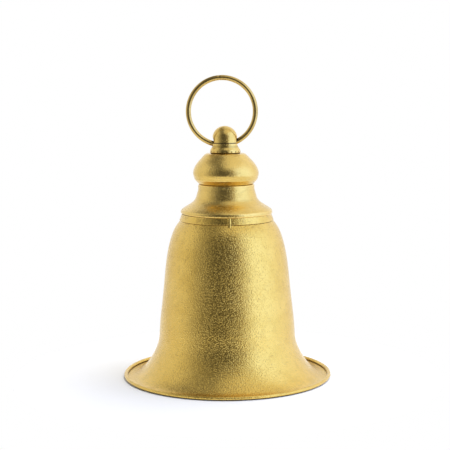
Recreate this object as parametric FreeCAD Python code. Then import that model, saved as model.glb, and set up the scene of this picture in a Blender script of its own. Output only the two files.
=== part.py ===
"""Spun-brass ornamental bell with a hanging ring and a clapper.

Millimetres, +Z up. The origin is the centre of the circle on which the rim
rests, so the bell stands on the plane z = 0. The front of the bell faces -Y.
"""
import FreeCAD, Part
import math
import os

from FreeCAD import Vector

# ---------------------------------------------------------------- sheet metal
sheet = 0.8               # thickness of every spun sheet
seat_gap = 0.04           # gap left between two sheets that are nested or stacked

# ------------------------------------------------------------------ bell body
rim_radius = 72.7         # outside of the rolled bead
bead_hollow = 0.55        # inside radius of the rolled bead
bead_curl_end = 190.0     # angle round the bead at which the curl stops
rest_width = 3.6          # width of the flat ring on which the bell stands
throat_radius = 48.6      # outside of the body where the brim starts to flare
throat_height = 23.8
waist_radius = 45.35      # outside of the body half way up
waist_height = 53.0
shoulder_radius = 32.2    # outside of the body where the collar ends
shoulder_height = 109.9
shoulder_slope = 37.0     # degrees from upright at that height
crown_rise = 5.6          # from there to the top of the closed crown

# --------------------------------------------------------------------- collar
collar_sheet = 0.6
collar_height = 4.5
collar_lean = 1.7         # how far the collar flares outwards from top to bottom
tab_width = 3.0
tab_depth = 1.0           # how far the folded tab stands out of the collar
tab_overhang = 1.9        # how far the tab hangs below the collar
tab_angle = 3.2           # degrees to the right of the front

# --------------------------------------------------------------- shoulder cap
cap_height = 20.6         # from the foot of the lip to the top of the neck
lip_overhang = 0.7        # how far the lip stands out past the top of the collar
lip_height = 3.4          # from the foot of the lip to the top of its corner
lip_corner = 1.9          # outside radius of the corner over the lip
flare_slope = 37.0        # degrees below level at which the flare meets the lip
neck_radius = 19.55
neck_corner = 1.2         # outside radius of the corner at the top of the neck
neck_height = 2.7         # from the top of the neck to the start of the flare
flange_width = 4.5        # flat flanges on which the bulb stands

# ----------------------------------------------------------------------- bulb
bulb_overhang = 2.35      # how far the crisp edge stands out past the neck
bulb_swell = 0.85         # how far the widest part stands out past the crisp edge
bulb_fold = 0.3           # inside radius of the two folds under the bulb
bulb_edge_rise = 3.67     # from the foot of the bulb to the crisp edge
bulb_tuck = 13.0          # degrees by which the side leans in above the crisp edge
bulb_widest_rise = 6.8    # from the foot of the bulb to its widest part
bulb_height = 21.1
bulb_top_radius = 12.6    # flat seat on top of the bulb

# --------------------------------------------------------------------- finial
skirt_foot_radius = 10.65
skirt_top_radius = 9.0
skirt_slope = 15.0        # degrees from upright at the foot of the wall
skirt_fold = 0.2          # inside radius of the fold round the foot
vent_radius = 0.45        # small round holes near the foot of the skirt
vent_count = 20
vent_gap = 0.1            # metal between the vents and the skirt's flat floor
vent_turn = 6.5           # degrees from the front to the first vent
dome_step = 0.35          # how far the dome is set in from the top of the skirt
dome_wall = 1.2
dome_height = 12.15       # from the seam to the apex
spigot_depth = 1.9        # how far the dome plugs into the skirt
eye_rise = 1.0            # centre of the cross hole above the seam

# --------------------------------------------------------------- hanging ring
ring_radius = 23.1        # to the centre of the wire
ring_wire_radius = 1.8
ring_drop = 2.0           # the wire's lowest point below the centre of the cross hole
ring_offset = -2.8        # the ring stands a little to the left in its hole
ring_play = 2.05          # between the wire and the cross hole, on the radius
ring_rod_gap = 0.37       # between the wire and the top of the tie rod

# ------------------------------------------------------------ tie rod and nuts
rod_radius = 2.0          # M4
hole_clearance = 0.25     # round the rod, in each sheet that it passes
thread_clearance = 0.05   # between the rod and its nuts
nut_ratio = 3.5           # across the flats of a nut, in rod radii
nut_height = 3.2
thin_nut_height = 1.8
washer_ratio = 2.25       # outside of a washer, in rod radii
washer_height = 0.5
rod_tip = 0.35            # rod showing above the thin nut
rod_eye_gap = 0.6         # between the bottom nut and the eye
rod_eye_opening = 2.6     # inside radius of the eye

# -------------------------------------------------------------------- clapper
link_wire_radius = 1.25
link_straight = 7.0       # straight part of the oval link
link_slack = 0.65         # between the link's sides and the wire that it hangs on
link_play = 0.3           # gap between wires that hang in each other
clapper_rod_radius = 1.9
clapper_eye_opening = 2.8   # inside radius of the eye
clapper_eye_wire_radius = 1.5
ball_radius = 11.0
ball_height = 27.0        # centre of the ball
ball_flat_radius = 3.8    # flat under the ball, on which the rivet bears
rivet_radius = 3.2
rivet_height = 1.4

overshoot = 1.0           # how far a cutting cylinder runs past the metal

# ------------------------------------------------------- places worked out once
bead_radius = bead_hollow + sheet
crown_height = shoulder_height + crown_rise
collar_top = shoulder_height + collar_height
collar_bottom_radius = shoulder_radius + seat_gap + collar_sheet
collar_top_radius = collar_bottom_radius - collar_lean
lip_radius = collar_top_radius + lip_overhang
lip_bottom = collar_top + seat_gap
neck_top_height = lip_bottom + cap_height
bulb_edge_radius = neck_radius + bulb_overhang
bulb_radius = bulb_edge_radius + bulb_swell
bulb_foot = neck_top_height + seat_gap
bulb_top_height = bulb_foot + bulb_height
bulb_fold_radius = bulb_fold + sheet
skirt_foot = bulb_top_height + seat_gap
skirt_fold_radius = skirt_fold + sheet
rod_hole_radius = rod_radius + hole_clearance
top_washer_foot = skirt_foot + sheet + seat_gap
top_nut_foot = top_washer_foot + washer_height + seat_gap
rod_top = top_nut_foot + thin_nut_height + rod_tip
eye_radius = ring_wire_radius + ring_play
eye_height = rod_top + ring_rod_gap + ring_wire_radius + ring_drop
seam_height = eye_height - eye_rise
dome_radius = skirt_top_radius - dome_step
ring_height = eye_height - ring_drop + ring_radius
crown_washer_top = crown_height - sheet - seat_gap
crown_nut_top = crown_washer_top - washer_height - seat_gap
crown_nut_bottom = crown_nut_top - nut_height
rod_eye_radius = rod_eye_opening + rod_radius
rod_eye_height = crown_nut_bottom - rod_eye_gap - rod_radius - rod_eye_radius
rod_eye_foot = rod_eye_height - rod_eye_radius
link_bend_radius = link_wire_radius + link_slack + rod_radius
link_top = rod_eye_foot + rod_radius + link_play + link_wire_radius
link_bottom = link_top - link_straight - 2 * link_bend_radius
clapper_eye_radius = clapper_eye_opening + clapper_eye_wire_radius
clapper_eye_top = link_bottom + link_wire_radius + link_play + clapper_eye_wire_radius
clapper_eye_height = clapper_eye_top - clapper_eye_radius
ball_foot = ball_height - math.sqrt(ball_radius ** 2 - ball_flat_radius ** 2)
rivet_top = ball_foot - seat_gap
UP = Vector(0, 0, 1)
OUT = Vector(1, 0, 0)
FRONT = Vector(0, -1, 0)


# -------------------------------------------------------------- outline helpers
def at(radius, height):
    """A point of an outline in the XZ plane."""
    return Vector(radius, 0, height)


def between(start, end, outwards, downwards):
    """A point that lies the given shares of the way across and of the way down."""
    return at(start.x + outwards * (end.x - start.x), start.z + downwards * (end.z - start.z))


def line(start, end):
    return Part.LineSegment(start, end).toShape()


def arc(start, middle, end):
    return Part.Arc(start, middle, end).toShape()


def on_circle(centre, radius, degrees):
    """A point of a circle in the XZ plane; 0 degrees points outwards, 90 up."""
    angle = math.radians(degrees)
    return centre + Vector(radius * math.cos(angle), 0, radius * math.sin(angle))


def round_arc(centre, radius, first, last):
    """An arc of a circle in the XZ plane, from one angle to another."""
    middle = (first + last) / 2
    return arc(on_circle(centre, radius, first), on_circle(centre, radius, middle),
               on_circle(centre, radius, last))


def curve(points, first_way, last_way):
    """A smooth curve through the points, with its direction given at both ends."""
    spline = Part.BSplineCurve()
    spline.interpolate(Points=points, InitialTangent=first_way, FinalTangent=last_way)
    return spline.toShape()


def turned(edges):
    """The solid that a closed outline sweeps when it turns about the Z axis."""
    return Part.Face(Part.Wire(edges)).revolve(Vector(), UP, 360)


def downhill(degrees):
    """The direction that leads outwards and falls by the angle below level."""
    angle = math.radians(degrees)
    return Vector(math.cos(angle), 0, -math.sin(angle))


def inside_point(edge, parameter, depth):
    """The point that lies inside an outline by the depth, square to its edge."""
    way = edge.tangentAt(parameter)
    return edge.valueAt(parameter) - Vector(-way.z, 0, way.x) * depth


def parallel(edge, depth):
    """The edge that runs inside this one at the depth."""
    first, last = edge.ParameterRange
    if edge.Curve.TypeId == "Part::GeomBSplineCurve":
        points = [inside_point(edge, knot, depth) for knot in edge.Curve.getKnots()]
        return curve(points, edge.tangentAt(first), edge.tangentAt(last))
    if edge.Curve.TypeId == "Part::GeomCircle":
        return arc(*[inside_point(edge, share, depth) for share in (first, (first + last) / 2, last)])
    return line(inside_point(edge, first, depth), inside_point(edge, last, depth))


def spun_sheet(outside, thickness):
    """A spun sheet: its outside runs from the top down, without sharp corners."""
    inside = [parallel(edge, thickness) for edge in outside]
    first = outside[0].FirstParameter
    last = outside[-1].LastParameter
    rim = line(outside[-1].valueAt(last), inside_point(outside[-1], last, thickness))
    top = line(inside_point(outside[0], first, thickness), outside[0].valueAt(first))
    return turned(outside + [rim] + inside[::-1] + [top])


def drum(radius, foot, height):
    return Part.makeCylinder(radius, height, at(0, foot))


def wire_ring(radius, wire_radius, centre):
    """A ring of round wire that stands in the XZ plane."""
    return Part.makeTorus(radius, wire_radius, centre, FRONT)


def hexagon(across_flats, foot, height):
    corner = across_flats / math.sqrt(3)
    points = []
    for step in range(7):
        angle = math.radians(60 * step)
        points.append(Vector(corner * math.cos(angle), corner * math.sin(angle), foot))
    return Part.Face(Part.makePolygon(points)).extrude(UP * height)


# ------------------------------------------------------------------- the pieces
def bell_body():
    """Spun shell: closed crown, shoulder, waist, flared brim and rolled bead."""
    slope = math.radians(shoulder_slope)
    crown_bend = crown_rise / (1 - math.sin(slope))
    bend_centre = at(shoulder_radius - crown_bend * math.cos(slope), crown_height - crown_bend)
    shoulder = at(shoulder_radius, shoulder_height)
    waist = at(waist_radius, waist_height)
    throat = at(throat_radius, throat_height)
    bead_centre = at(rim_radius - bead_radius, bead_radius)
    brim_foot = at(bead_centre.x - rest_width, sheet)
    side = [
        shoulder,
        between(shoulder, waist, 0.25, 0.08),
        between(shoulder, waist, 0.48, 0.20),
        between(shoulder, waist, 0.68, 0.38),
        between(shoulder, waist, 0.85, 0.67),
        waist,
        between(waist, throat, 0.56, 0.57),
        throat,
        between(throat, brim_foot, 0.16, 0.33),
        between(throat, brim_foot, 0.46, 0.72),
        between(throat, brim_foot, 0.75, 0.94),
        brim_foot,
    ]
    return spun_sheet([
        line(at(rod_hole_radius, crown_height), on_circle(bend_centre, crown_bend, 90)),
        round_arc(bend_centre, crown_bend, 90, shoulder_slope),
        curve(side, downhill(90 - shoulder_slope), OUT),
        line(brim_foot, at(bead_centre.x, sheet)),
        round_arc(bead_centre, bead_radius - sheet, -90, bead_curl_end),
    ], sheet)


def collar_band():
    """Conical band pressed on the shoulder, under the lip of the cap."""
    inner_foot = at(collar_bottom_radius - collar_sheet, shoulder_height)
    outer_foot = at(collar_bottom_radius, shoulder_height)
    outer_top = at(collar_top_radius, collar_top)
    inner_top = at(collar_top_radius - collar_sheet, collar_top)
    return turned([
        line(inner_foot, outer_foot),
        line(outer_foot, outer_top),
        line(outer_top, inner_top),
        line(inner_top, inner_foot),
    ])


def collar_seam_tab():
    """Folded tab that closes the band: a half-round rib with a rounded foot."""
    lean = math.degrees(math.atan2(collar_lean, collar_height))
    length = (collar_height + tab_overhang) / math.cos(math.radians(lean))
    half_width = tab_width / 2
    rib = Part.makeCylinder(half_width, length - half_width)
    rib = rib.fuse(Part.makeSphere(half_width))
    rib.translate(Vector(0, 0, half_width - length))
    flatten = FreeCAD.Matrix()
    flatten.scale(1, tab_depth / half_width, 1)
    rib = rib.transformGeometry(flatten)
    rib.rotate(Vector(), OUT, -lean)
    rib.translate(Vector(0, -collar_top_radius, collar_top))
    inside_band = Part.makeCone(collar_bottom_radius, collar_top_radius, collar_height, at(0, shoulder_height))
    above_band = drum(lip_radius + tab_width, collar_top, tab_width)
    rib = rib.cut([inside_band, above_band, bell_body()])
    rib.rotate(Vector(), UP, tab_angle)
    return rib


def shoulder_cap():
    """Spun cap over the crown: flange, neck, concave flare and upright lip."""
    corner_centre = at(neck_radius - neck_corner, neck_top_height - neck_corner)
    lip_centre = at(lip_radius - lip_corner, lip_bottom + lip_height - lip_corner)
    neck_foot = at(neck_radius, neck_top_height - neck_height)
    flare_foot = on_circle(lip_centre, lip_corner, 90 - flare_slope)
    flare = [
        neck_foot,
        between(neck_foot, flare_foot, 0.09, 0.30),
        between(neck_foot, flare_foot, 0.17, 0.49),
        between(neck_foot, flare_foot, 0.38, 0.68),
        between(neck_foot, flare_foot, 0.65, 0.82),
        flare_foot,
    ]
    return spun_sheet([
        line(at(neck_radius - flange_width, neck_top_height), on_circle(corner_centre, neck_corner, 90)),
        round_arc(corner_centre, neck_corner, 90, 0),
        line(on_circle(corner_centre, neck_corner, 0), neck_foot),
        curve(flare, -UP, downhill(flare_slope)),
        round_arc(lip_centre, lip_corner, 90 - flare_slope, 0),
        line(on_circle(lip_centre, lip_corner, 0), at(lip_radius, lip_bottom)),
    ], sheet)


def bulb_dome():
    """Spun dome with a flat top, a round side and a crisp edge folded under."""
    seat = at(bulb_top_radius, bulb_top_height)
    widest = at(bulb_radius, bulb_foot + bulb_widest_rise)
    edge_centre = at(bulb_edge_radius - bulb_fold_radius, bulb_foot + bulb_edge_rise)
    foot_centre = at(neck_radius - bulb_fold_radius, bulb_foot + bulb_fold_radius)
    underside = math.degrees(math.atan2(foot_centre.x - edge_centre.x, edge_centre.z - foot_centre.z))
    edge = on_circle(edge_centre, bulb_fold_radius, -bulb_tuck)
    side = [
        seat,
        between(seat, widest, 0.14, 0.04),
        between(seat, widest, 0.40, 0.22),
        between(seat, widest, 0.66, 0.42),
        between(seat, widest, 0.88, 0.65),
        widest,
        edge,
    ]
    return spun_sheet([
        line(at(rod_hole_radius, bulb_top_height), seat),
        curve(side, OUT, downhill(90 + bulb_tuck)),
        round_arc(edge_centre, bulb_fold_radius, -bulb_tuck, underside),
        line(on_circle(edge_centre, bulb_fold_radius, underside),
             on_circle(foot_centre, bulb_fold_radius, underside)),
        round_arc(foot_centre, bulb_fold_radius, underside, -90),
        line(on_circle(foot_centre, bulb_fold_radius, -90), at(neck_radius - flange_width, bulb_foot)),
    ], sheet)


def finial_skirt():
    """Cup under the finial: flat foot, concave wall and a ring of small vents."""
    top = at(skirt_top_radius, seam_height)
    fold_centre = at(skirt_foot_radius - skirt_fold_radius, skirt_foot + skirt_fold_radius)
    foot = on_circle(fold_centre, skirt_fold_radius, skirt_slope)
    wall = [
        top,
        between(top, foot, 0.07, 0.37),
        between(top, foot, 0.45, 0.60),
        between(top, foot, 0.79, 0.78),
        foot,
    ]
    cup = spun_sheet([
        curve(wall, -UP, downhill(90 - skirt_slope)),
        round_arc(fold_centre, skirt_fold_radius, skirt_slope, -90),
        line(on_circle(fold_centre, skirt_fold_radius, -90), at(rod_hole_radius, skirt_foot)),
    ], sheet)
    vent_height = skirt_foot + sheet + vent_gap + vent_radius
    holes = [ring_hole()]
    for index in range(vent_count):
        vent = Part.makeCylinder(vent_radius, skirt_foot_radius + sheet, at(0, vent_height), FRONT)
        vent.rotate(Vector(), UP, vent_turn + index * 360 / vent_count)
        holes.append(vent)
    return cup.cut(holes)


def ring_hole():
    """The cross hole for the ring, right through the finial along X."""
    reach = skirt_foot_radius
    return Part.makeCylinder(eye_radius, 2 * reach, at(-reach, eye_height), OUT)


def finial_dome():
    """Hollow round cap that plugs into the skirt and carries the ring."""
    inside_radius = dome_radius - dome_wall
    spigot_radius = skirt_top_radius - sheet - seat_gap
    seam = seam_height + seat_gap
    crown_centre = at(0, seam_height + dome_height - dome_radius)
    spigot_foot = seam_height - spigot_depth
    shell = turned([
        line(at(inside_radius, spigot_foot), at(spigot_radius, spigot_foot)),
        line(at(spigot_radius, spigot_foot), at(spigot_radius, seam)),
        line(at(spigot_radius, seam), at(dome_radius, seam)),
        line(at(dome_radius, seam), on_circle(crown_centre, dome_radius, 0)),
        round_arc(crown_centre, dome_radius, 0, 90),
        line(on_circle(crown_centre, dome_radius, 90), on_circle(crown_centre, inside_radius, 90)),
        round_arc(crown_centre, inside_radius, 90, 0),
        line(on_circle(crown_centre, inside_radius, 0), at(inside_radius, spigot_foot)),
    ])
    return shell.cut(ring_hole())


def hanging_ring():
    return wire_ring(ring_radius, ring_wire_radius, at(ring_offset, ring_height))


def clapper_eye_bolt():
    """Threaded rod that ties the bell together, bent into an eye at its foot."""
    bend = rod_eye_height + rod_eye_radius
    rod = drum(rod_radius, bend, rod_top - bend)
    eye = wire_ring(rod_eye_radius, rod_radius, at(0, rod_eye_height))
    return rod.fuse(eye)


def nut(foot, height):
    body = hexagon(nut_ratio * rod_radius, foot, height)
    return body.cut(drum(rod_radius + thread_clearance, foot - overshoot, height + 2 * overshoot))


def washer(foot):
    plate = drum(washer_ratio * rod_radius, foot, washer_height)
    return plate.cut(drum(rod_hole_radius, foot - overshoot, washer_height + 2 * overshoot))


def clapper_link():
    """Oval wire link in the YZ plane, hooked through the rod's eye."""
    top = at(0, link_top - link_bend_radius)
    bottom = at(0, link_bottom + link_bend_radius)
    side = Vector(0, link_bend_radius, 0)
    spine = Part.Wire([
        Part.Arc(top - side, top + UP * link_bend_radius, top + side).toShape(),
        Part.LineSegment(top + side, bottom + side).toShape(),
        Part.Arc(bottom + side, bottom - UP * link_bend_radius, bottom - side).toShape(),
        Part.LineSegment(bottom - side, top - side).toShape(),
    ])
    start = top + side
    section = Part.Wire([Part.Circle(start, UP, link_wire_radius).toShape()])
    return spine.makePipeShell([section], True, True)


def clapper_rod():
    """Straight rod with an eye at its head and a riveted tail under the ball."""
    eye = wire_ring(clapper_eye_radius, clapper_eye_wire_radius, at(0, clapper_eye_height))
    rod = drum(clapper_rod_radius, rivet_top, clapper_eye_height - clapper_eye_radius - rivet_top)
    round_centre = at(rivet_radius - rivet_height, rivet_top)
    rivet_foot = on_circle(round_centre, rivet_height, -90)
    rivet = turned([
        line(at(0, rivet_foot.z), rivet_foot),
        round_arc(round_centre, rivet_height, -90, 0),
        line(at(rivet_radius, rivet_top), at(0, rivet_top)),
        line(at(0, rivet_top), at(0, rivet_foot.z)),
    ])
    return rod.fuse([eye, rivet])


def clapper_ball():
    """Turned ball, bored for the rod, with a flat under it for the rivet."""
    ball = Part.makeSphere(ball_radius, at(0, ball_height))
    under_flat = drum(ball_radius, ball_foot - ball_radius, ball_radius)
    bore = drum(clapper_rod_radius + seat_gap, ball_foot - overshoot, 2 * (ball_radius + overshoot))
    return ball.cut([under_flat, bore])


def crown_washer():
    return washer(crown_washer_top - washer_height)


def crown_nut():
    return nut(crown_nut_bottom, nut_height)


def top_washer():
    return washer(top_washer_foot)


def top_nut():
    return nut(top_nut_foot, thin_nut_height)


PIECES = [
    bell_body, collar_band, collar_seam_tab, shoulder_cap, bulb_dome, finial_skirt, finial_dome,
    hanging_ring, clapper_eye_bolt, crown_washer, crown_nut, top_washer, top_nut,
    clapper_link, clapper_rod, clapper_ball,
]


def main():
    os.makedirs("parts", exist_ok=True)
    for piece in PIECES:
        piece().exportStep("parts/" + piece.__name__ + ".step")


main()
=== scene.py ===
"""Looks of a spun-brass ornamental bell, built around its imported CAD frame.

The shells are turned again here at a fine resolution, from the same sizes as the CAD.
Profiles are written in millimetres and become metres when a mesh is made.
"""
import bmesh
import bpy
import math
import numpy as np
from mathutils import Matrix, Vector


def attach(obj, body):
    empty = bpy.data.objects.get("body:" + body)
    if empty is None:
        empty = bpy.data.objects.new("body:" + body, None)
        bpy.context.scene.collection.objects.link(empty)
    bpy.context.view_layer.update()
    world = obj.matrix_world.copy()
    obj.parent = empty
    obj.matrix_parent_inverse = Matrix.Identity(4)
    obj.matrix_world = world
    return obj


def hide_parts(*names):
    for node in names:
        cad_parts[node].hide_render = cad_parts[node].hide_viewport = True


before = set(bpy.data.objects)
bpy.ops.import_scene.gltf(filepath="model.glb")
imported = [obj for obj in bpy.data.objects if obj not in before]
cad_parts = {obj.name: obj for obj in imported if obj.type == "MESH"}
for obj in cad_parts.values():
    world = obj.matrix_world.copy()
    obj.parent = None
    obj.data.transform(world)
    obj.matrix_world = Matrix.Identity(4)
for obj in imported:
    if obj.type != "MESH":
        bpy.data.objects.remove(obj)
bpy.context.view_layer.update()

MM = 0.001
SHEET = 0.8
GAP = 0.04                     # between nested sheets
ROD = 2.25                     # hole round the tie rod

# the bell's own shell: the rim's radius, then (radius, height) of its waist, throat and shoulder;
# the crown above the shoulder; the rolled bead's radius and the flat ring on which the rim rests
RIM, WAIST, THROAT, SHOULDER = 72.7, (45.35, 53.0), (48.6, 23.8), (32.2, 109.9)
CROWN_RISE, CROWN_SLOPE = 5.6, 37.0
CROWN = SHOULDER[1] + CROWN_RISE
BEAD, REST_WIDTH = 1.35, 3.6

# the collar band: its thickness, its height and how far it leans inwards; and its folded tab, which
# runs past the band's foot and lies a few degrees right of the front
BAND, BAND_HEIGHT, LEAN = 0.6, 4.5, 1.7
COLLAR_TOP = SHOULDER[1] + BAND_HEIGHT
COLLAR_FOOT_R = SHOULDER[0] + GAP + BAND
TAB_TURN, TAB_WIDTH, TAB_STAND, TAB_PAST = 3.2, 1.2, 0.55, 1.9

# the cap's lip and neck, the bulb from its foot to its flat seat, the finial's skirt and its vents,
# and the finial's round cap; a corner is an outer radius, and slopes and arcs are in degrees
LIP_R, LIP_FOOT = COLLAR_FOOT_R - LEAN + 0.7, COLLAR_TOP + GAP
LIP_HEIGHT, LIP_CORNER, LIP_ARC, CAP_SLOPE = 3.4, 1.9, 53, 37.0
NECK_R, NECK_TOP = 19.55, LIP_FOOT + 20.6
NECK_HEIGHT, NECK_CORNER, FLANGE = 2.7, 1.2, 4.5
BULB_R, EDGE_R, BULB_FOOT = NECK_R + 3.2, NECK_R + 2.35, NECK_TOP + GAP
BULB_TOP, BULB_SEAT_R, BULB_WIDEST, BULB_EDGE = BULB_FOOT + 21.1, 12.6, 6.8, 3.67
BULB_CORNER, BULB_TUCK = 1.1, 13
SKIRT_FOOT, SKIRT_FOOT_R, SKIRT_TOP_R = BULB_TOP + GAP, 10.65, 9.0
SKIRT_CORNER, SKIRT_SLOPE = 1.0, 15
VENTS, VENT_R, VENT_RISE, VENT_START, VENT_TURN = 20, 0.42, 1.3, 8.8, 6.5
DOME_R, DOME_HEIGHT, DOME_WALL, PLUG_DEPTH = 8.65, 12.15, 1.2, 1.9

# the washers and nuts on the tie rod, and above them the hanging ring and its hole
WASHER, WASHER_R, NUT, THIN_NUT, NUT_HALF, ROD_TIP = 0.5, 4.5, 3.2, 1.8, 3.5, 0.35
ROD_TOP = SKIRT_FOOT + SHEET + GAP + WASHER + GAP + THIN_NUT + ROD_TIP
RING_R, WIRE, RING_OFFSET, RING_DROP, RING_PLAY = 23.1, 1.8, -2.8, 2.0, 2.05
EYE = ROD_TOP + 0.37 + WIRE + RING_DROP
SEAM = EYE - 1.0
RING_CENTRE = EYE - RING_DROP + RING_R

# the rod's eye, the oval link in it, the clapper's eye in the link, the ball and its rivet
EYE_R, ROD_R, ROD_STEM = 4.6, 2.0, 0.6
LINK_R, LINK_WIRE, LINK_LENGTH, SLACK = 3.9, 1.25, 7.0, 0.3
CLAPPER_EYE_R, CLAPPER_WIRE, CLAPPER_R = 4.3, 1.5, 1.9
BALL_R, BALL_HEIGHT, BALL_FOOT_R, RIVET_R, RIVET_CORNER = 11.0, 27.0, 3.8, 3.2, 1.4


# ------------------------------------------------------------ profiles (millimetres)
def unit(v):
    """The vector at length 1."""
    return v / np.linalg.norm(v)


def seg(start, end, step=1.0):
    """A straight run of points."""
    start, end = np.array(start, float), np.array(end, float)
    count = max(1, int(np.linalg.norm(end - start) / step))
    return [start + (end - start) * i / count for i in range(count + 1)]


def bend(centre, radius, first, last, step=0.25):
    """An arc; 0 degrees points outwards and 90 up."""
    count = max(4, int(abs(math.radians(last - first)) * radius / step))
    angles = [math.radians(first + (last - first) * i / count) for i in range(count + 1)]
    return [np.array(centre) + radius * np.array([math.cos(a), math.sin(a)]) for a in angles]


def on_circle(centre, radius, degrees):
    """The point of a circle at an angle; 0 degrees points outwards and 90 up."""
    a = math.radians(degrees)
    return np.array(centre) + radius * np.array([math.cos(a), math.sin(a)])


def spline(points, first_way, last_way, step=0.6):
    """The clamped cubic spline through the points."""
    p = np.array(points, float)
    h = np.linalg.norm(np.diff(p, axis=0), axis=1)
    n = len(p)
    a, b = np.eye(n), np.zeros((n, 2))
    b[0], b[-1] = unit(np.array(first_way, float)), unit(np.array(last_way, float))
    for i in range(1, n - 1):
        a[i, i - 1], a[i, i], a[i, i + 1] = h[i], 2 * (h[i - 1] + h[i]), h[i - 1]
        b[i] = 3 * (h[i] * (p[i] - p[i - 1]) / h[i - 1] + h[i - 1] * (p[i + 1] - p[i]) / h[i])
    m = np.linalg.solve(a, b)
    out = []
    for i in range(n - 1):
        count = max(2, int(h[i] / step))
        for j in range(count + (i == n - 2)):
            t = j / count
            out.append((2 * t**3 - 3 * t**2 + 1) * p[i] + (t**3 - 2 * t**2 + t) * h[i] * m[i]
                       + (3 * t**2 - 2 * t**3) * p[i + 1] + (t**3 - t**2) * h[i] * m[i + 1])
    return out


def mix(start, end, across, down):
    """The point a share across and a share down from the start to the end."""
    return (start[0] + across * (end[0] - start[0]), start[1] + down * (end[1] - start[1]))


def joined(*runs):
    """The runs of points one after another, without a point that repeats the one before it."""
    out = []
    for run in runs:
        for point in run:
            if not out or np.linalg.norm(point - out[-1]) > 1e-4:
                out.append(point)
    return out


def sheet_loop(outside, thickness=SHEET):
    """A closed outline: the outside, then the inside one sheet's thickness in."""
    p = np.array(outside)
    way = np.gradient(p, axis=0)
    way /= np.linalg.norm(way, axis=1)[:, None]
    inside = p - thickness * np.stack([-way[:, 1], way[:, 0]], 1)
    return np.vstack([p, inside[::-1]]), len(p)


# ------------------------------------------------------------------------- meshes
def wobble(theta, z):
    """How far a spun wall is out of round, in millimetres: never outwards."""
    wave = (math.sin(2 * theta + 0.4 + z * 0.011) + 0.6 * math.sin(3 * theta + 2.1 - z * 0.017)
            + 0.35 * math.sin(7 * theta + z * 0.05) + 0.25 * math.sin(11 * theta - z * 0.09 + 1.0))
    return -0.035 * (2.2 - wave) / 2


def finish_mesh(mesh, name, body, material, replaces, sharp=32):
    """Makes the mesh a smooth-shaded piece that rides on its body and stands for a node of the CAD."""
    mesh.update()
    piece = bpy.data.objects.new(name, mesh)
    bpy.context.scene.collection.objects.link(piece)
    mesh.materials.append(material)
    mesh.polygons.foreach_set("use_smooth", [True] * len(mesh.polygons))
    mesh.set_sharp_from_angle(angle=math.radians(sharp))
    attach(piece, body)
    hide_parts(replaces)


def lathe(name, loop, outer, segments=288, shape=None):
    """A closed outline turned about the axis, with a shape function that may move each point.

    Its vertices carry "run", how far along the outline they lie, and "wear", how convex the wall is
    there: positive on edges, negative in hollows, and 0 past the first outer points.
    """
    loop = np.array(loop)
    count = len(loop)
    run = np.concatenate([[0], np.cumsum(np.linalg.norm(np.diff(loop, axis=0), axis=1))])
    before, after = loop - np.roll(loop, 2, 0), np.roll(loop, -2, 0) - loop
    turn = np.arctan2(before[:, 0] * after[:, 1] - before[:, 1] * after[:, 0], (before * after).sum(1))
    length = (np.linalg.norm(before, axis=1) + np.linalg.norm(after, axis=1)) / 2 + 1e-6
    convexity = np.clip(-turn / length, -1.5, 1.5)
    convexity[outer:] = 0.0
    verts = []
    for s in range(segments):
        theta = 2 * math.pi * s / segments
        for r, z in loop:
            out = max(r + wobble(theta, z) * min(1.0, r / 12), 0.0)
            x, y = out * math.cos(theta), out * math.sin(theta)
            if shape:
                x, y, z = shape(x, y, z)
            verts.append((x * MM, y * MM, z * MM))
    faces = []
    for s in range(segments):
        a, b = s * count, ((s + 1) % segments) * count
        for i in range(count):
            j = (i + 1) % count
            faces.append((a + i, a + j, b + j, b + i))
    mesh = bpy.data.meshes.new(name)
    mesh.from_pydata(verts, [], faces)
    for label, values in (("run", run), ("convexity", convexity)):
        mesh.attributes.new(label, "FLOAT", "POINT").data.foreach_set("value", np.tile(values, segments))
    return mesh


def clean(mesh, weld=0.0):
    """Turns the faces outwards, and first welds points that are nearer than the given distance."""
    work = bmesh.new()
    work.from_mesh(mesh)
    if weld:
        bmesh.ops.remove_doubles(work, verts=work.verts, dist=weld)
    bmesh.ops.recalc_face_normals(work, faces=work.faces)
    work.to_mesh(mesh)
    work.free()
    return mesh


def tube(name, path, radius, sides=28, closed=True, squeeze=None):
    """Round wire along a path of points; squeeze scales its radius by the share of the path."""
    p = np.array(path, float)
    count = len(p)
    if closed:
        way = np.roll(p, -1, 0) - np.roll(p, 1, 0)
    else:
        way = np.gradient(p, axis=0)
    way /= np.linalg.norm(way, axis=1)[:, None]
    up = Vector((0, 1, 0)) if abs(way[0][1]) < 0.9 else Vector((1, 0, 0))
    verts, runs = [], []
    travelled = 0.0
    for i in range(count):
        t = Vector(way[i])
        up = (up - t * up.dot(t)).normalized()
        side = t.cross(up)
        if i:
            travelled += float(np.linalg.norm(p[i] - p[i - 1]))
        r = radius * (squeeze(i / count) if squeeze else 1.0)
        for s in range(sides):
            a = 2 * math.pi * s / sides
            v = Vector(p[i]) + (up * math.cos(a) + side * math.sin(a)) * r
            verts.append(v * MM)
            runs.append(travelled)
    faces = []
    for i in range(count if closed else count - 1):
        a, b = i * sides, ((i + 1) % count) * sides
        for s in range(sides):
            t = (s + 1) % sides
            faces.append((a + s, a + t, b + t, b + s))
    if not closed:
        faces.append(tuple(range(sides)))
        faces.append(tuple((count - 1) * sides + s for s in reversed(range(sides))))
    mesh = bpy.data.meshes.new(name)
    mesh.from_pydata(verts, [], faces)
    mesh.attributes.new("run", "FLOAT", "POINT").data.foreach_set("value", runs)
    return clean(mesh)


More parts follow.
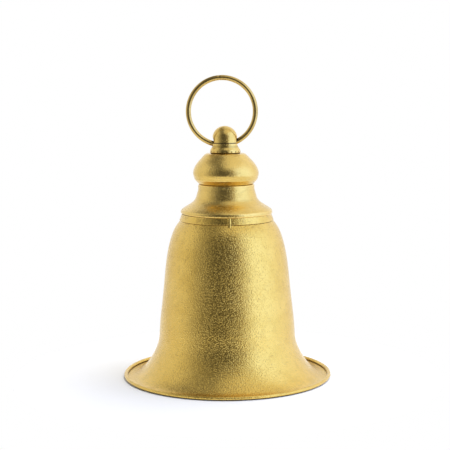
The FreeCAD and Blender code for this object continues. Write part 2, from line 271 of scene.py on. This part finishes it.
def carve(mesh, cutters):
    """Cuts round holes, each given as a start, a direction, a radius and a length."""
    target = bpy.data.objects.new("carved", mesh)
    bpy.context.scene.collection.objects.link(target)
    tools = bmesh.new()
    for start, way, radius, length in cutters:
        way = Vector(way).normalized()
        turn = way.to_track_quat("Z", "Y").to_matrix().to_4x4()
        place = Matrix.Translation((Vector(start) + way * length / 2) * MM) @ turn
        bmesh.ops.create_cone(tools, cap_ends=True, segments=40, radius1=radius * MM, radius2=radius * MM,
                              depth=length * MM, matrix=place)
    tool_mesh = bpy.data.meshes.new("cutter")
    tools.to_mesh(tool_mesh)
    tools.free()
    tool = bpy.data.objects.new("cutter", tool_mesh)
    bpy.context.scene.collection.objects.link(tool)
    cut = target.modifiers.new("cut", "BOOLEAN")
    cut.operation, cut.solver, cut.object = "DIFFERENCE", "EXACT", tool
    result = bpy.data.meshes.new_from_object(target.evaluated_get(bpy.context.evaluated_depsgraph_get()))
    for thing in (target, tool):
        bpy.data.objects.remove(thing)
    result.materials.clear()
    return result


# ---------------------------------------------------------------------- materials
def maths_in(tree):
    """A maker of maths nodes in the tree, whose inputs are numbers or other nodes' outputs."""
    def maths(kind, *values):
        node = tree.nodes.new("ShaderNodeMath")
        node.operation = kind
        for socket, value in zip(node.inputs, values):
            if isinstance(value, float):
                socket.default_value = value
            else:
                tree.links.new(value, socket)
        return node.outputs[0]
    return maths


def antique(name, light, deep, brown, seed=0.0, rough=(0.17, 0.22), grain=1.0, coat=0.25, mottle=0.10,
            rings=1.0, edge_rub_and_highlight=0.5, painted_crevice_shade=0.85):
    """Lacquered antique gold: mottled patina, fine wrinkled grain, spinning marks, pale rubbed edges partly painted
    as a highlight, and painted shade in crevices.

    light and deep are the metal's two golds and brown the patina. grain, rings and mottle say how strong the grain,
    the spinning marks and the brown clouds are; the last two say how strong the pale rubbed edges are, which are
    partly a painted highlight, and how strong the painted shade in crevices is.
    """
    mat = bpy.data.materials.new(name)
    mat.use_nodes = True
    nodes, links = mat.node_tree.nodes, mat.node_tree.links
    maths = maths_in(mat.node_tree)
    shader = nodes["Principled BSDF"]
    shader.inputs["Metallic"].default_value = 1.0
    shader.inputs["Coat Weight"].default_value = coat
    shader.inputs["Coat Roughness"].default_value = 0.26
    shader.inputs["Coat IOR"].default_value = 1.5

    def measured(label):
        """What the mesh's vertices carry under this label."""
        node = nodes.new("ShaderNodeAttribute")
        node.attribute_name = label
        return node.outputs["Fac"]

    def put(kind, **sockets):
        """A node with values on its own sockets."""
        node = nodes.new(kind)
        for key, value in sockets.items():
            node.inputs[key.replace("_", " ")].default_value = value
        return node

    coords = nodes.new("ShaderNodeTexCoord")
    place = put("ShaderNodeMapping", Location=(seed * 0.37, seed * 0.21, seed * 0.11))
    links.new(coords.outputs["Object"], place.inputs["Vector"])

    def noise(scale, detail, roughness, distortion=0.0):
        node = put("ShaderNodeTexNoise", Scale=scale, Detail=detail, Roughness=roughness, Distortion=distortion)
        links.new(place.outputs["Vector"], node.inputs["Vector"])
        return node.outputs["Fac"]

    def ramp(fac, low, high, first=0.0, last=1.0):
        """A soft step from first to last as the factor goes from low to high."""
        node = nodes.new("ShaderNodeMapRange")
        node.interpolation_type = "SMOOTHSTEP"
        for key, value in (("From Min", low), ("From Max", high), ("To Min", first), ("To Max", last)):
            node.inputs[key].default_value = value
        links.new(fac, node.inputs["Value"])
        return node.outputs["Result"]

    def blend(fac, a, b):
        """From colour a to colour b; each input is a socket or a value."""
        node = nodes.new("ShaderNodeMix")
        node.data_type = "RGBA"
        for value, key in ((fac, 0), (a, 6), (b, 7)):
            if isinstance(value, (float, tuple)):
                node.inputs[key].default_value = value if isinstance(value, float) else (*value, 1.0)
            else:
                links.new(value, node.inputs[key])
        return node.outputs[2]

    # patina: two golds, brown clouds and dots, dark hollows, pale rubbed edges that are partly a painted highlight,
    # and painted shade in crevices
    broad = noise(62.0, 4.0, 0.6, 0.4)
    cloud = noise(210.0, 4.0, 0.62)
    wrinkle = noise(900.0, 2.0, 0.5, 0.6)
    speck = noise(1300.0, 1.0, 0.5)
    convexity = measured("convexity")

    colour = blend(ramp(broad, 0.35, 0.68), light, deep)
    colour = blend(maths("MULTIPLY", ramp(cloud, 0.46, 0.72), mottle), colour, brown)
    dots = maths("MULTIPLY", ramp(speck, 0.55, 0.72), ramp(cloud, 0.35, 0.65, 0.35, 1.0))
    colour = blend(maths("MULTIPLY", dots, 0.26 * grain), colour, brown)
    hollow = ramp(convexity, -0.05, -0.7)
    colour = blend(maths("MULTIPLY", hollow, 0.9), colour, tuple(0.45 * v for v in brown))
    # pale edges: partly rubbed wear, partly a painted highlight along the convex edges
    edge = maths("MULTIPLY", ramp(convexity, 0.15, 0.9), edge_rub_and_highlight)
    pale = tuple(min(1.0, 1.08 * v + 0.04) for v in light)
    colour = blend(maths("MULTIPLY", edge, ramp(cloud, 0.30, 0.62, 0.5, 1.0)), colour, pale)
    # painted shade: ambient occlusion darkens crevices and gaps between parts towards a dark brown
    crevice = put("ShaderNodeAmbientOcclusion", Distance=0.0022)
    crevice.samples = 8
    painted_crevice_colour = tuple(0.30 * v + 0.02 for v in brown)
    colour = blend(ramp(crevice.outputs["AO"], 0.78, 0.30, 0.0, painted_crevice_shade), colour, painted_crevice_colour)
    links.new(colour, shader.inputs["Base Color"])

    gloss = maths("ADD", ramp(broad, 0.30, 0.70, rough[0], rough[1]), maths("MULTIPLY", dots, 0.12))
    gloss = maths("SUBTRACT", gloss, maths("MULTIPLY", edge, 0.10))
    links.new(gloss, shader.inputs["Roughness"])

    # relief, from the finest up: wrinkles, flecks, spinning marks along the outline, and soft dents
    marks = put("ShaderNodeTexNoise", Scale=2.6, Detail=3.0)
    marks.noise_dimensions = "1D"
    links.new(maths("ADD", measured("run"), maths("MULTIPLY", broad, 1.6)), marks.inputs["W"])
    normal = None
    for height, strength, depth in ((wrinkle, 0.90 * grain, 0.00014),
                                    (ramp(speck, 0.45, 0.72), 0.95 * grain, 0.00010),
                                    (marks.outputs["Fac"], 0.20 * rings, 0.00009),
                                    (broad, 0.12, 0.0005)):
        bump = put("ShaderNodeBump", Strength=strength, Distance=depth)
        links.new(height, bump.inputs["Height"])
        if normal:
            links.new(normal, bump.inputs["Normal"])
        normal = bump.outputs["Normal"]
    links.new(normal, shader.inputs["Normal"])
    links.new(normal, shader.inputs["Coat Normal"])
    return mat


GOLD = dict(light=(0.88, 0.60, 0.14), deep=(0.82, 0.545, 0.115), brown=(0.25, 0.16, 0.05))
PALE_GOLD = dict(light=(0.88, 0.615, 0.17), deep=(0.81, 0.55, 0.135), brown=(0.25, 0.16, 0.05))
body_brass = antique("body brass", seed=1.0, **GOLD)
collar_brass = antique("collar brass", seed=2.0, grain=0.7, mottle=0.35, **GOLD)
# the cap and the bulb get stronger pale edges, partly a painted highlight, and weaker painted crevice shade
cap_brass = antique("cap brass", seed=3.0, grain=0.6, painted_crevice_shade=0.5, edge_rub_and_highlight=0.8, **PALE_GOLD)
bulb_brass = antique("bulb brass", seed=4.0, grain=0.5, painted_crevice_shade=0.5, edge_rub_and_highlight=0.8, **PALE_GOLD)
finial_brass = antique("finial brass", seed=5.0, grain=0.35, **PALE_GOLD)
ring_brass = antique("ring brass", seed=6.0, grain=0.12, rough=(0.14, 0.20), rings=0.5,
                     light=(0.74, 0.52, 0.16), deep=(0.56, 0.38, 0.11), brown=(0.26, 0.15, 0.05))
STEEL = dict(light=(0.46, 0.42, 0.35), deep=(0.34, 0.30, 0.25), brown=(0.17, 0.10, 0.06))
rod_steel = antique("rod steel", seed=7.0, grain=0.5, rough=(0.34, 0.52), coat=0.2, **STEEL)
fastener_steel = antique("fastener steel", seed=8.0, grain=0.4, rough=(0.30, 0.48), coat=0.2,
                         light=(0.56, 0.49, 0.33), deep=(0.44, 0.38, 0.26), brown=(0.20, 0.13, 0.07))
clapper_steel = antique("clapper steel", seed=9.0, grain=0.5, rough=(0.34, 0.52), coat=0.2, **STEEL)
ball_brass = antique("ball brass", seed=10.0, grain=0.6, mottle=0.8, rough=(0.30, 0.50), coat=0.3,
                     light=(0.60, 0.44, 0.18), deep=(0.46, 0.32, 0.12), brown=(0.20, 0.12, 0.05))


# ---------------------------------------------------------------- the bell's shells
def bell_profile():
    """The shell's outside, from the hole in its crown down to the end of the rim's curl."""
    slope = math.radians(CROWN_SLOPE)
    radius = CROWN_RISE / (1 - math.sin(slope))
    centre = (SHOULDER[0] - radius * math.cos(slope), CROWN - radius)
    foot = (RIM - BEAD - REST_WIDTH, SHEET)
    side = [SHOULDER, mix(SHOULDER, WAIST, .25, .08), mix(SHOULDER, WAIST, .48, .20),
            mix(SHOULDER, WAIST, .68, .38), mix(SHOULDER, WAIST, .85, .67), WAIST,
            mix(WAIST, THROAT, .56, .57), THROAT, mix(THROAT, foot, .16, .33),
            mix(THROAT, foot, .46, .72), mix(THROAT, foot, .75, .94), foot]
    return joined(seg((ROD, CROWN), on_circle(centre, radius, 90)),
                  bend(centre, radius, 90, CROWN_SLOPE, 0.5),
                  spline(side, (math.sin(slope), -math.cos(slope)), (1, 0)),
                  seg(foot, (RIM - BEAD, SHEET), 0.6),
                  bend((RIM - BEAD, BEAD), BEAD - SHEET, -90, 190, 0.12))


def cap_profile():
    """The cap's outside, from its flange over the neck and the flare to the curled foot of its lip."""
    corner = (NECK_R - NECK_CORNER, NECK_TOP - NECK_CORNER)
    lip = (LIP_R - LIP_CORNER, LIP_FOOT + LIP_HEIGHT - LIP_CORNER)
    neck, foot = (NECK_R, NECK_TOP - NECK_HEIGHT), on_circle(lip, LIP_CORNER, LIP_ARC)
    curl, curl_height = 0.9, LIP_FOOT + 0.85
    slope = math.radians(CAP_SLOPE)
    flare = [neck, mix(neck, foot, .09, .30), mix(neck, foot, .17, .49), mix(neck, foot, .38, .68),
             mix(neck, foot, .65, .82), foot]
    return joined(seg((NECK_R - FLANGE, NECK_TOP), on_circle(corner, NECK_CORNER, 90)),
                  bend(corner, NECK_CORNER, 90, 0),
                  seg(on_circle(corner, NECK_CORNER, 0), neck, 0.6),
                  spline(flare, (0, -1), (math.cos(slope), -math.sin(slope)), 0.4),
                  bend(lip, LIP_CORNER, LIP_ARC, 0),
                  seg((LIP_R, lip[1]), (LIP_R, curl_height), 0.2),
                  bend((LIP_R - curl, curl_height), curl, 0, -62, 0.1))


def bulb_profile():
    """The bulb's outside, from its flat seat round the side to the folded foot."""
    seat, widest = (BULB_SEAT_R, BULB_TOP), (BULB_R, BULB_FOOT + BULB_WIDEST)
    edge = (EDGE_R - BULB_CORNER, BULB_FOOT + BULB_EDGE)
    foot = (NECK_R - BULB_CORNER, BULB_FOOT + BULB_CORNER)
    under = math.degrees(math.atan2(foot[0] - edge[0], edge[1] - foot[1]))
    tuck = math.radians(BULB_TUCK)
    side = [seat, mix(seat, widest, .14, .04), mix(seat, widest, .40, .22), mix(seat, widest, .66, .42),
            mix(seat, widest, .88, .65), widest, on_circle(edge, BULB_CORNER, -BULB_TUCK)]
    return joined(seg((ROD, BULB_TOP), seat),
                  spline(side, (1, 0), (-math.sin(tuck), -math.cos(tuck)), 0.5),
                  bend(edge, BULB_CORNER, -BULB_TUCK, under, 0.12),
                  seg(on_circle(edge, BULB_CORNER, under), on_circle(foot, BULB_CORNER, under), 0.4),
                  bend(foot, BULB_CORNER, under, -90, 0.2),
                  seg(on_circle(foot, BULB_CORNER, -90), (NECK_R - FLANGE, BULB_FOOT)))


def skirt_profile():
    """The finial's concave cup, from the seam down to the hole in its floor."""
    top, fold = (SKIRT_TOP_R, SEAM), (SKIRT_FOOT_R - SKIRT_CORNER, SKIRT_FOOT + SKIRT_CORNER)
    foot = on_circle(fold, SKIRT_CORNER, SKIRT_SLOPE)
    slope = math.radians(SKIRT_SLOPE)
    wall = [top, mix(top, foot, .07, .37), mix(top, foot, .45, .60), mix(top, foot, .79, .78), foot]
    return joined(spline(wall, (0, -1), (math.sin(slope), -math.cos(slope)), 0.3),
                  bend(fold, SKIRT_CORNER, SKIRT_SLOPE, -90, 0.15),
                  seg(on_circle(fold, SKIRT_CORNER, -90), (ROD, SKIRT_FOOT)))


def dome_loop():
    """The finial's round cap: its plug in the skirt, its seam, its outside and its hollow."""
    centre = (0.0, SEAM + DOME_HEIGHT - DOME_R)
    seam, plug, bore = SEAM + GAP, SKIRT_TOP_R - SHEET - GAP, DOME_R - DOME_WALL
    plug_foot = SEAM - PLUG_DEPTH
    return joined(seg((plug, plug_foot), (plug, seam), 0.5), seg((plug, seam), (DOME_R, seam), 0.2),
                  seg((DOME_R, seam), (DOME_R, centre[1]), 0.5), bend(centre, DOME_R, 0, 89.9, 0.3),
                  bend(centre, bore, 89.9, 0, 0.5), seg((bore, centre[1]), (bore, plug_foot), 0.8))


def lean_at(z):
    """The bulb and the finial lean a little to the left of the bell's axis, in millimetres."""
    return -0.022 * max(0.0, z - 130.0)


def leaning(x, y, z):
    """Moves a point with the lean."""
    return x + lean_at(z), y, z


def droop(x, y, z):
    """The cap's lip is cut a little unevenly: lower at the right than at the left."""
    reach = 1.8
    share = min(1.0, max(0.0, (LIP_FOOT + reach - z) / reach))
    drop = share * (0.30 * x / LIP_R + 0.10 * math.sin(3 * math.atan2(y, x) + 0.5))
    return x + lean_at(z), y, z - drop


def shell_mesh(name, profile, segments=288, shape=None):
    """A shell of sheet, turned from the profile of its outside."""
    loop, outer = sheet_loop(profile)
    return clean(lathe(name, loop, outer, segments, shape=shape))


def band_loop():
    """The collar band's closed outline, with a rounded hem at its foot."""
    hem = (COLLAR_FOOT_R - 0.34, SHOULDER[1] + 0.26)
    outside = seg((COLLAR_FOOT_R - LEAN, COLLAR_TOP), (COLLAR_FOOT_R - 0.1, hem[1]), 0.4)
    return joined(outside, bend(hem, 0.24, 10, -90, 0.1),
                  seg((hem[0], SHOULDER[1]), (COLLAR_FOOT_R - BAND, SHOULDER[1]), 0.3),
                  seg((COLLAR_FOOT_R - BAND, SHOULDER[1]), (COLLAR_FOOT_R - BAND - LEAN, COLLAR_TOP), 0.6))


finish_mesh(shell_mesh("bell_shell", bell_profile(), 384), "bell_shell", "bell", body_brass, "bell_body")
finish_mesh(clean(lathe("collar", band_loop(), 14)), "collar", "bell", collar_brass, "collar_band")
finish_mesh(shell_mesh("cap", cap_profile(), shape=droop), "cap", "bell", cap_brass, "shoulder_cap")
finish_mesh(shell_mesh("bulb", bulb_profile(), shape=leaning), "bulb", "bell", bulb_brass, "bulb_dome")

cross = ((-DOME_R - 2.75, 0, EYE), (1, 0, 0), WIRE + RING_PLAY, 2 * (DOME_R + 2.75))
holes = [cross]
for index in range(VENTS):
    a = math.radians(-90 + VENT_TURN + 360 / VENTS * index)
    way = (math.cos(a), math.sin(a), 0)
    start = (VENT_START * way[0] + lean_at(SKIRT_FOOT), VENT_START * way[1], SKIRT_FOOT + VENT_RISE)
    holes.append((start, way, VENT_R, 4))
skirt = carve(shell_mesh("skirt", skirt_profile(), 240, leaning), holes)
finish_mesh(skirt, "skirt", "bell", finial_brass, "finial_skirt")
dome = carve(clean(lathe("dome", dome_loop(), 200, 192, shape=leaning), 1e-5), [cross])
finish_mesh(dome, "finial", "bell", finial_brass, "finial_dome")


# ------------------------------------------------------------------ tab and hanging ring
def tab_mesh():
    """The folded tab: a rib with two soft flanks, a crease and a rounded foot."""
    tilt = math.atan2(LEAN, BAND_HEIGHT)
    length = (BAND_HEIGHT + TAB_PAST) / math.cos(tilt)
    rows, cols = 30, 20
    verts = []
    for i in range(rows + 1):
        s = i / rows * length
        left = length - s
        width = TAB_WIDTH * math.sqrt(max(0.0, 1 - max(0.0, 1 - left / TAB_WIDTH) ** 2))
        for j in range(cols + 1):
            a = math.pi * j / cols
            x = -width * math.cos(a)
            stand = TAB_STAND * (width / TAB_WIDTH) * math.sin(a) ** 1.4
            crease = -0.16 * math.exp(-((x + 0.1) / 0.28) ** 2) * min(1.0, left / 2.0)
            y = -(stand + crease)
            down, out = s * math.cos(tilt), s * math.sin(tilt)
            verts.append((x, y * math.cos(tilt) - out + 0.02, -down + y * math.sin(tilt) * 0.3))
    faces = [(i * (cols + 1) + j, (i + 1) * (cols + 1) + j, (i + 1) * (cols + 1) + j + 1, i * (cols + 1) + j + 1)
             for i in range(rows) for j in range(cols)]
    mesh = bpy.data.meshes.new("tab")
    mesh.from_pydata(verts, [], faces)
    top = Matrix.Translation((0, LEAN - COLLAR_FOOT_R + 0.12, COLLAR_TOP - 0.02))
    mesh.transform(Matrix.Rotation(math.radians(TAB_TURN), 4, "Z") @ top)
    mesh.transform(Matrix.Scale(MM, 4))
    return clean(mesh, 1e-6)


finish_mesh(tab_mesh(), "tab", "bell", collar_brass, "collar_seam_tab")

def ring_path(count=240, uneven=0.03):
    """The hanging ring's centre line, bent a little out of round."""
    out = []
    for i in range(count):
        a = 2 * math.pi * i / count
        r = RING_R - uneven * (1 + math.sin(3 * a + 0.6))
        out.append((RING_OFFSET + r * math.cos(a), 0, RING_CENTRE + r * math.sin(a)))
    return out


def butt(share):
    """The wire's two ends meet in a fine groove, a little left of the top."""
    return 1.0 - 0.10 * math.exp(-((share - 0.262) / 0.0022) ** 2) - 0.004 * (1 + math.sin(share * 95))


finish_mesh(tube("hanging_wire", ring_path(), WIRE, 32, squeeze=butt), "hanging_wire", "ring", ring_brass,
            "hanging_ring", sharp=60)


# ------------------------------------------------------------------------ inner works
def arc_path(centre, radius, first, last, count, plane="XZ"):
    """Points along an arc in an upright plane; 0 degrees points to +X or +Y, and 90 up."""
    out = []
    for i in range(count):
        a = math.radians(first + (last - first) * i / (count - 1))
        u, w = radius * math.cos(a), radius * math.sin(a)
        out.append((centre[0] + u, 0, centre[1] + w) if plane == "XZ" else (0, centre[0] + u, centre[1] + w))
    return out


washer_foot = CROWN - SHEET - GAP - WASHER
nut_foot = washer_foot - GAP - NUT
eye_centre = nut_foot - ROD_STEM - ROD_R - EYE_R
link_top = eye_centre - EYE_R + ROD_R + SLACK + LINK_WIRE
link_bottom = link_top - LINK_LENGTH - 2 * LINK_R
clapper_eye = link_bottom + LINK_WIRE + SLACK + CLAPPER_WIRE - CLAPPER_EYE_R
ball_foot = BALL_HEIGHT - math.sqrt(BALL_R ** 2 - BALL_FOOT_R ** 2)

stem = [(lean_at(z), 0, z) for z in np.linspace(ROD_TOP - 0.02, eye_centre + EYE_R + 0.4, 60)]
hook = arc_path((0, eye_centre), EYE_R, 90, -252, 90)
finish_mesh(tube("eye_bolt", stem + hook, ROD_R - 0.01, 28, closed=False), "eye_bolt", "bell", rod_steel,
            "clapper_eye_bolt", sharp=50)


def nut_mesh(name, foot, height):
    """A hexagon nut with chamfered corners and a bore, as six rings of points joined round its section."""
    chamfer, bore, sides = 0.35, 2.06, 72
    flat_turn = math.pi / 6
    corner = NUT_HALF / math.cos(flat_turn) - 0.02
    shift = lean_at(foot)
    angles = [2 * math.pi * s / sides for s in range(sides)]
    verts = []
    for level, inset in ((0.0, chamfer), (chamfer, 0.0), (height - chamfer, 0.0), (height, chamfer)):
        for a in angles:
            r = min(NUT_HALF / math.cos(a % (2 * flat_turn) - flat_turn), corner - inset)
            verts.append(((shift + r * math.cos(a)) * MM, r * math.sin(a) * MM, (foot + level) * MM))
    for level in (height, 0.0):
        for a in angles:
            verts.append(((shift + bore * math.cos(a)) * MM, bore * math.sin(a) * MM, (foot + level) * MM))
    faces = []
    for k in range(6):
        a, b = k * sides, ((k + 1) % 6) * sides
        for s in range(sides):
            t = (s + 1) % sides
            faces.append((a + s, a + t, b + t, b + s))
    mesh = bpy.data.meshes.new(name)
    mesh.from_pydata(verts, [], faces)
    return clean(mesh)


def washer_loop(foot):
    """A washer's closed outline, with a small corner on its upper edge."""
    corner, top = 0.1, foot + WASHER
    return joined(seg((ROD, top), (WASHER_R - corner, top)),
                  seg((WASHER_R - corner, top), (WASHER_R, top - corner), 0.1),
                  seg((WASHER_R, top - corner), (WASHER_R, foot), 0.2), seg((WASHER_R, foot), (ROD, foot)))


top_washer_foot = SKIRT_FOOT + SHEET + GAP
top_nut_foot = top_washer_foot + WASHER + GAP
for name, foot, height, node in (("nut_below", nut_foot, NUT, "crown_nut"),
                                 ("nut_above", top_nut_foot, THIN_NUT, "top_nut")):
    finish_mesh(nut_mesh(name, foot, height), name, "bell", fastener_steel, node)
for name, foot, node in (("washer_below", washer_foot, "crown_washer"),
                         ("washer_above", top_washer_foot, "top_washer")):
    washer = clean(lathe(name, washer_loop(foot), 0, 72, shape=leaning))
    finish_mesh(washer, name, "bell", fastener_steel, node)

upper, lower = link_top - LINK_R, link_bottom + LINK_R
link_path = (arc_path((0, upper), LINK_R, 0, 180, 34, "YZ")
             + [(0, -LINK_R, z) for z in np.linspace(upper, lower, 12)[1:-1]]
             + arc_path((0, lower), LINK_R, 180, 360, 34, "YZ")
             + [(0, LINK_R, z) for z in np.linspace(lower, upper, 12)[1:-1]])


def link_butt(share):
    """The link's wire meets in a groove on one of its straight sides."""
    return 1.0 - 0.12 * math.exp(-((share - 0.45) / 0.006) ** 2)


finish_mesh(tube("oval_link", link_path, LINK_WIRE, 24, squeeze=link_butt), "oval_link", "link", clapper_steel,
            "clapper_link", sharp=60)

head = arc_path((0, clapper_eye), CLAPPER_EYE_R, -90, 252, 90)
finish_mesh(tube("clapper_eye", head, CLAPPER_WIRE - 0.01, 24, closed=False), "clapper_eye", "clapper", clapper_steel,
            "clapper_rod", sharp=50)


def clapper_rod_loop():
    """The clapper's rod from its tip, inside the eye's wire, down to the riveted tail."""
    tip, rivet_top = clapper_eye - CLAPPER_EYE_R, ball_foot - GAP
    rivet = (RIVET_R - RIVET_CORNER, rivet_top)
    return joined(seg((0.05, tip + 0.6), (CLAPPER_R, tip - 0.2), 0.4),
                  seg((CLAPPER_R, tip - 0.2), (CLAPPER_R, rivet_top), 0.7),
                  seg((CLAPPER_R, rivet_top), (RIVET_R, rivet_top), 0.3),
                  bend(rivet, RIVET_CORNER, 0, -90, 0.15),
                  seg((rivet[0], rivet_top - RIVET_CORNER), (0.05, 15.3), 0.3))


def ball_loop():
    """The ball from the flat on which the rivet bears, round the outside, and down its bore."""
    bore = CLAPPER_R + GAP
    bore_top = BALL_HEIGHT + math.sqrt(BALL_R ** 2 - bore ** 2)
    flat = math.degrees(math.acos(BALL_FOOT_R / BALL_R))
    outside = joined(seg((bore, ball_foot), (BALL_FOOT_R, ball_foot), 0.4),
                     bend((0.0, BALL_HEIGHT), BALL_R, -flat, 88.0, 0.3)[:-1])
    outside = [point for point in outside if point[1] < bore_top]
    return joined(outside, seg((bore, bore_top), (bore, ball_foot), 1.0))


finish_mesh(clean(lathe("clapper_stem", clapper_rod_loop(), 0, 64)), "clapper_stem", "clapper", clapper_steel,
            "clapper_rod")
ball = ball_loop()
finish_mesh(clean(lathe("ball", ball, len(ball), 160)), "ball", "clapper", ball_brass, "clapper_ball")


# ------------------------------------------------------------- floor, light and camera
def pale_floor(radius, drop):
    """A pale disc just under the bell; it belongs to the stage and not to the object."""
    colour, mottle = 0.93, 0.985
    mat = bpy.data.materials.new("pale floor")
    mat.use_nodes = True
    nodes, links = mat.node_tree.nodes, mat.node_tree.links
    grain = nodes.new("ShaderNodeTexNoise")
    grain.inputs["Scale"].default_value = 40.0
    level = nodes.new("ShaderNodeMapRange")
    level.inputs["To Min"].default_value = colour * mottle
    level.inputs["To Max"].default_value = colour
    links.new(grain.outputs["Fac"], level.inputs["Value"])
    links.new(level.outputs["Result"], nodes["Principled BSDF"].inputs["Base Color"])
    nodes["Principled BSDF"].inputs["Roughness"].default_value = 0.9
    work = bmesh.new()
    bmesh.ops.create_circle(work, cap_ends=True, segments=128, radius=radius)
    mesh = bpy.data.meshes.new("floor")
    work.to_mesh(mesh)
    work.free()
    mesh.materials.append(mat)
    disc = bpy.data.objects.new("floor", mesh)
    disc.location.z = -drop
    bpy.context.scene.collection.objects.link(disc)


pale_floor(0.15, 0.00005)


def studio():
    """A white room with a dim strip to the front, a dim patch above and a pale table below.

    The camera itself sees plain white in place of the room.
    """
    world = bpy.data.worlds.new("studio")
    bpy.context.scene.world = world
    world.use_nodes = True
    nodes, links = world.node_tree.nodes, world.node_tree.links
    maths = maths_in(world.node_tree)
    coords = nodes.new("ShaderNodeTexCoord")
    split = nodes.new("ShaderNodeSeparateXYZ")
    links.new(coords.outputs["Generated"], split.inputs[0])
    turn = maths("ARCTAN2", split.outputs["X"], maths("MULTIPLY", split.outputs["Y"], -1.0))

    def levels(fac, stops):
        """Soft grey levels; the brightest are a little cooler."""
        ramp = nodes.new("ShaderNodeValToRGB")
        links.new(fac, ramp.inputs["Fac"])
        band = ramp.color_ramp
        band.interpolation = "EASE"
        while len(band.elements) < len(stops):
            band.elements.new(0.5)
        for element, (place, level) in zip(band.elements, stops):
            cool = max(0.0, level - 1.0)
            element.position = place
            element.color = (level, level + 2.0 * cool, level + 8.0 * cool, 1)
        return ramp.outputs["Color"]

    # round the horizon by degrees, 0 to the front and 90 to the right; and overhead by how far right
    around = ((-180, 1.0), (-115, 0.80), (-86, 0.80), (-58, 0.42), (-36, 0.16), (-19, 0.09), (2, 0.12), (20, 0.20),
              (31, 0.60), (44, 1.12), (76, 1.13), (112, 1.05), (140, 1.0), (180, 1.0))
    over = ((-1.0, 0.70), (-0.70, 0.55), (-0.52, 0.22), (-0.22, 0.20), (-0.04, 0.66), (0.30, 0.86), (1.0, 1.0))
    low = levels(maths("MULTIPLY_ADD", turn, 1 / (2 * math.pi), 0.5), [(d / 360 + 0.5, v) for d, v in around])
    high = levels(maths("MULTIPLY_ADD", split.outputs["X"], 0.5, 0.5), [(x / 2 + 0.5, v) for x, v in over])

    def faded(start, end, first, second):
        """From the first colour to the second as the view's height goes from start to end."""
        share = nodes.new("ShaderNodeMapRange")
        share.interpolation_type = "SMOOTHSTEP"
        share.inputs["From Min"].default_value = start
        share.inputs["From Max"].default_value = end
        links.new(split.outputs["Z"], share.inputs["Value"])
        blend = nodes.new("ShaderNodeMix")
        blend.data_type = "RGBA"
        links.new(share.outputs["Result"], blend.inputs[0])
        links.new(first, blend.inputs[6])
        if isinstance(second, tuple):
            blend.inputs[7].default_value = second
        else:
            links.new(second, blend.inputs[7])
        return blend.outputs[2]

    room = faded(0.60, 0.85, low, high)
    room = faded(-0.25, -0.45, room, (0.92, 0.92, 0.92, 1.0))
    links.new(room, nodes["Background"].inputs["Color"])
    seen = nodes.new("ShaderNodeBackground")
    seen.inputs["Color"].default_value = (1.0, 1.0, 1.0, 1.0)
    paths = nodes.new("ShaderNodeLightPath")
    chosen = nodes.new("ShaderNodeMixShader")
    links.new(paths.outputs["Is Camera Ray"], chosen.inputs[0])
    links.new(nodes["Background"].outputs[0], chosen.inputs[1])
    links.new(seen.outputs[0], chosen.inputs[2])
    links.new(chosen.outputs[0], nodes["World Output"].inputs["Surface"])


studio()


def soft_box(name, place, target, size, watts):
    """A wide soft light that polished metal doesn't mirror."""
    light = bpy.data.lights.new(name, "AREA")
    light.shape, light.size, light.size_y, light.energy = "RECTANGLE", size[0], size[1], watts
    box = bpy.data.objects.new(name, light)
    box.location = place
    box.rotation_euler = (Vector(target) - Vector(place)).to_track_quat("-Z", "Y").to_euler()
    box.visible_glossy = False
    bpy.context.scene.collection.objects.link(box)


soft_box("top", (0.5, 0.3, 1.5), (0, 0, 0.1), (1.6, 1.6), 21.0)

# the camera looks down a little on the bell from the front, rolled by a third of a degree
camera_data = bpy.data.cameras.new("camera")
camera_data.sensor_width = 36.0
camera_data.lens = 98.4
camera = bpy.data.objects.new("camera", camera_data)
bpy.context.scene.collection.objects.link(camera)
camera.location = (-0.0011, -0.850, 0.2113)
camera.rotation_euler = (Matrix.Rotation(math.radians(90 - 7.053), 3, "X")
                         @ Matrix.Rotation(math.radians(-0.33), 3, "Z")).to_euler()
bpy.context.scene.camera = camera
bpy.context.scene.view_settings.view_transform = "Standard"
